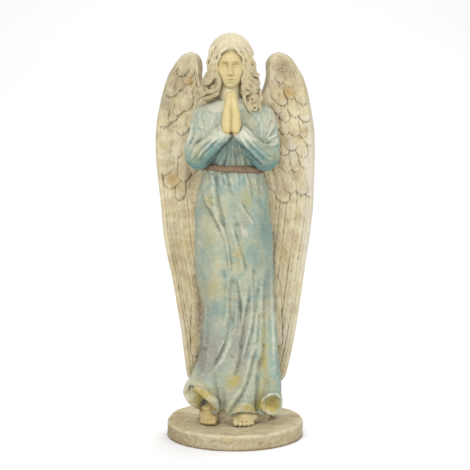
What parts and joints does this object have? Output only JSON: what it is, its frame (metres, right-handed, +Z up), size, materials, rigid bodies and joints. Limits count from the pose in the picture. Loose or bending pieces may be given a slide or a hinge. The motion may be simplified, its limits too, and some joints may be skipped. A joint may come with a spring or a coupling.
{
  "type": "angel figurine",
  "caption": "Standing garden angel in a long belted robe, palms pressed in prayer, tall folded feathered wings behind, cast together with a round plinth.",
  "frame": {"origin": "centre of the plinth's flat underside", "axes": "+Z up the figure; the figure faces -Y; +X is to the right of someone looking at its face"},
  "size_m": [0.241, 0.202, 0.6],
  "materials": {
    "bare_stone": "matte",
    "robe_blue": "matte",
    "skin_cream": "matte",
    "hair_cream": "matte",
    "belt_red": "matte"
  },
  "bodies": {
    "root": {"angel": "bare_stone"}
  },
  "joints": []
}
